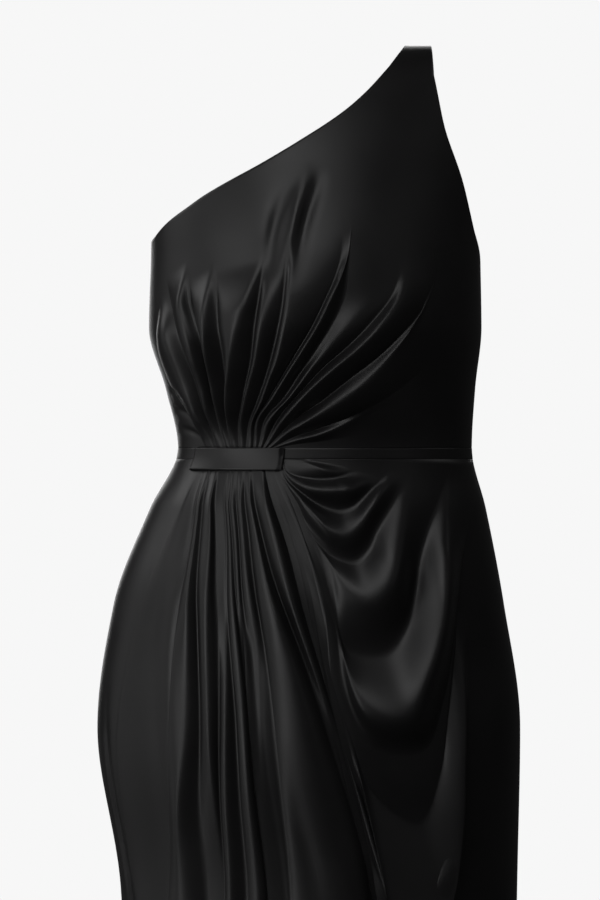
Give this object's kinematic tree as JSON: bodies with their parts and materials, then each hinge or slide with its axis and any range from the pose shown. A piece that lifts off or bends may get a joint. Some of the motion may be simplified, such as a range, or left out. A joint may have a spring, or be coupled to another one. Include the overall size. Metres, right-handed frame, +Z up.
{
  "type": "one-shoulder evening gown",
  "caption": "Floor-length one-shoulder gown with a diagonal neckline, pleats gathered under a loop at the waist, swags to the hip, and a concealed back zip with a swinging pull tab.",
  "frame": {"origin": "under the middle of the strap, where it rests on the wearer's left shoulder", "axes": "+X to the wearer's left, -Y to the front, +Z up along the gown"},
  "size_m": [0.4704, 0.3593, 1.4802],
  "materials": {
    "bodice_front": "satin",
    "bodice_back_left": "satin",
    "bodice_back_right": "satin",
    "waistband_front": "satin",
    "waistband_back_left": "satin",
    "waistband_back_right": "satin",
    "pleat_loop": "satin",
    "skirt_front": "satin",
    "skirt_back_left": "satin",
    "skirt_back_right": "satin",
    "zip_tape_left": "matte woven",
    "zip_tape_right": "matte woven",
    "zip_slider": "satin black lacquer",
    "zip_pull": "satin black lacquer"
  },
  "bodies": {
    "dress": {"bodice_front": "bodice_front", "bodice_back_left": "bodice_back_left", "bodice_back_right": "bodice_back_right", "waistband_front": "waistband_front", "waistband_back_left": "waistband_back_left", "waistband_back_right": "waistband_back_right", "pleat_loop": "pleat_loop", "skirt_front": "skirt_front", "skirt_back_left": "skirt_back_left", "skirt_back_right": "skirt_back_right", "zip_tape_left": "zip_tape_left", "zip_tape_right": "zip_tape_right", "zip_slider": "zip_slider"},
    "zip_pull": {"zip_pull": "zip_pull"}
  },
  "joints": [
    {"name": "pull_swing", "type": "hinge", "parent": "dress", "child": "zip_pull", "pos_m": [-0.09448, 0.10401, -0.10572], "axis": [1, 0, 0], "range_deg": [0, 170]}
  ]
}
